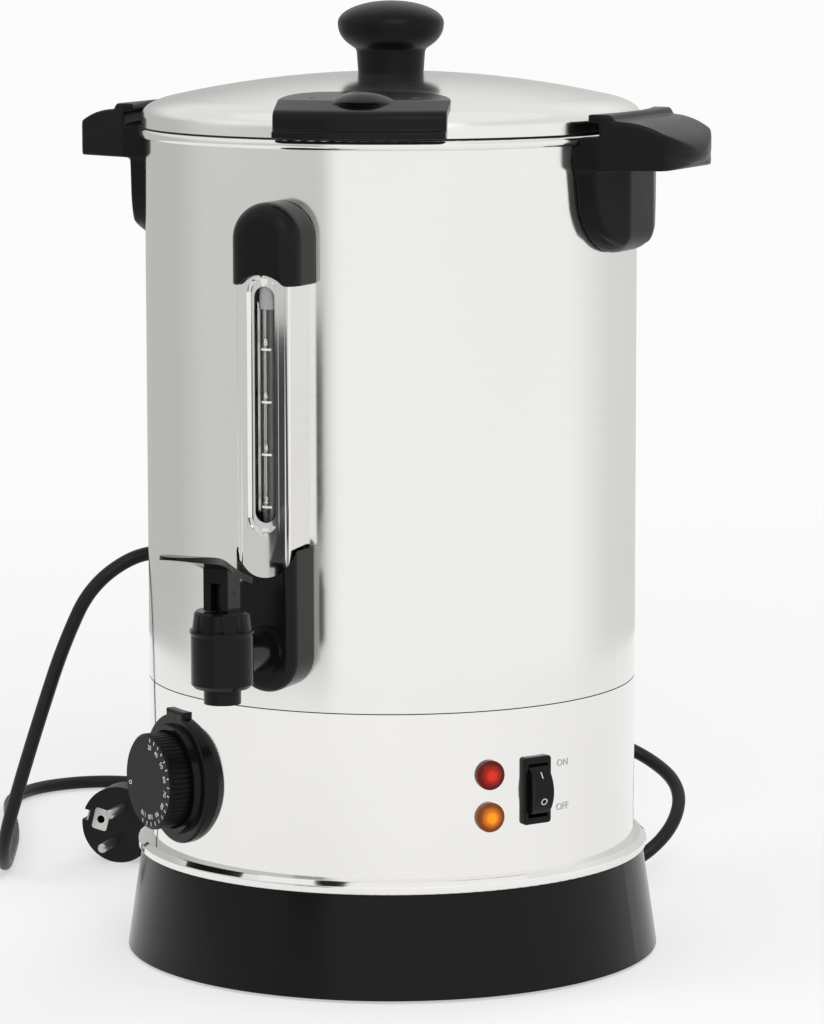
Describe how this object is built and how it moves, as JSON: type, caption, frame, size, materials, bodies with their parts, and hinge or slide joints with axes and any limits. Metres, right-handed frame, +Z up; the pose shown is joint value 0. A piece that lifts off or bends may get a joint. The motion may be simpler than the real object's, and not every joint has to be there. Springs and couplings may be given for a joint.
{
  "type": "hot water urn",
  "caption": "Tall steel hot water urn with a lever tap and sight glass, a twist-lock lid, side handles, a numbered dial, a rocker switch, pilot lamps and a mains cord with plug.",
  "frame": {"origin": "on the body's axis at the level the feet stand on", "axes": "+Z up along the body's axis, -Y towards the tap at the front, +X to the right seen from the front, where one handle is"},
  "size_m": [0.5006, 0.508, 0.4594],
  "materials": {
    "polished_steel": "polished stainless steel, mirror bright",
    "pot_steel": "satin stainless steel",
    "zinc_steel": "bright zinc plated steel",
    "cast_plate": "plain aluminium",
    "black_gloss": "glossy black moulded plastic",
    "black_satin": "fine satin black moulded plastic",
    "clear_tube": "clear glass tube",
    "red_lens": "clear red moulded lens",
    "amber_lens": "clear amber moulded lens",
    "white_nylon": "natural white nylon",
    "silicone": "translucent white silicone",
    "black_rubber": "matt black rubber",
    "cord_pvc": "smooth black flexible PVC",
    "brass": "plain machined brass"
  },
  "bodies": {
    "urn": {"base_plate": "zinc_steel", "base_screws": "zinc_steel", "base_skirt": "black_gloss", "cord_gland": "black_rubber", "dial_bezel": "black_gloss", "gauge_cap": "black_gloss", "gauge_guard": "polished_steel", "gauge_screws": "zinc_steel", "gauge_seals": "silicone", "gauge_tube": "clear_tube", "handle_left": "black_satin", "handle_right": "black_satin", "handle_screws": "zinc_steel", "heater_plate": "cast_plate", "heating_element": "zinc_steel", "housing_screws": "zinc_steel", "inner_pot": "pot_steel", "lamp_bodies": "white_nylon", "lamp_heating": "red_lens", "lamp_keep_warm": "amber_lens", "lower_housing": "polished_steel", "mains_cord": "cord_pvc", "outer_shell": "polished_steel", "plug_body": "cord_pvc", "plug_earth": "brass", "plug_pins": "zinc_steel", "rubber_feet": "black_rubber", "sensor_bulb": "zinc_steel", "switch_frame": "black_gloss", "tap_block": "black_gloss", "tap_body": "black_gloss", "tap_bonnet": "black_gloss", "tap_nut": "zinc_steel", "tap_washers": "silicone", "terminal_block": "white_nylon", "thermal_cutout": "cast_plate", "thermostat_body": "zinc_steel", "thermostat_screws": "zinc_steel", "trim_ring": "polished_steel"},
    "tap_stem": {"tap_stem": "white_nylon", "tap_seal": "silicone", "tap_spring": "zinc_steel"},
    "tap_lever": {"tap_lever": "black_gloss", "lever_pin": "zinc_steel"},
    "lid_seal": {"lid_seal": "silicone"},
    "lid": {"lid_shell": "polished_steel", "lid_knob": "black_satin", "knob_screw": "zinc_steel", "lid_lug_front": "black_gloss", "lid_lug_rear": "black_gloss", "lug_screws": "zinc_steel"},
    "dial": {"dial_knob": "black_satin", "dial_shaft": "zinc_steel"},
    "rocker": {"switch_rocker": "black_gloss"}
  },
  "joints": [
    {"name": "lid_lift", "type": "slide", "parent": "urn", "child": "lid_seal", "axis": [0, 0, 1], "range_m": [0, 0.12]},
    {"name": "lid_turn", "type": "hinge", "parent": "lid_seal", "child": "lid", "pos_m": [0, 0, 0.4003], "axis": [0, 0, 1], "range_deg": [0, 71.8]},
    {"name": "tap_lever_press", "type": "hinge", "parent": "tap_stem", "child": "tap_lever", "pos_m": [0, -0.1795, 0.1987], "axis": [1, 0, 0], "range_deg": [0, 28], "stiffness_Nm_per_rad": 0.0288, "springref_deg": -38.22},
    {"name": "stem_lift", "type": "slide", "parent": "urn", "child": "tap_stem", "axis": [0, 0, 1], "range_m": [0, 0.003], "deforming": ["tap_spring"]},
    {"name": "dial_turn", "type": "hinge", "parent": "urn", "child": "dial", "pos_m": [-0.06658, -0.09983, 0.0936], "axis": [0.5548, 0.832, 0], "range_deg": [0, 270]},
    {"name": "switch_rock", "type": "hinge", "parent": "urn", "child": "rocker", "pos_m": [0.09939, -0.05785, 0.095], "axis": [0.503, 0.8643, 0], "range_deg": [0, 16]}
  ],
  "couplings": [
    {"joint": "stem_lift", "follows": "tap_lever_press", "m_per_rad": 0.006}
  ]
}
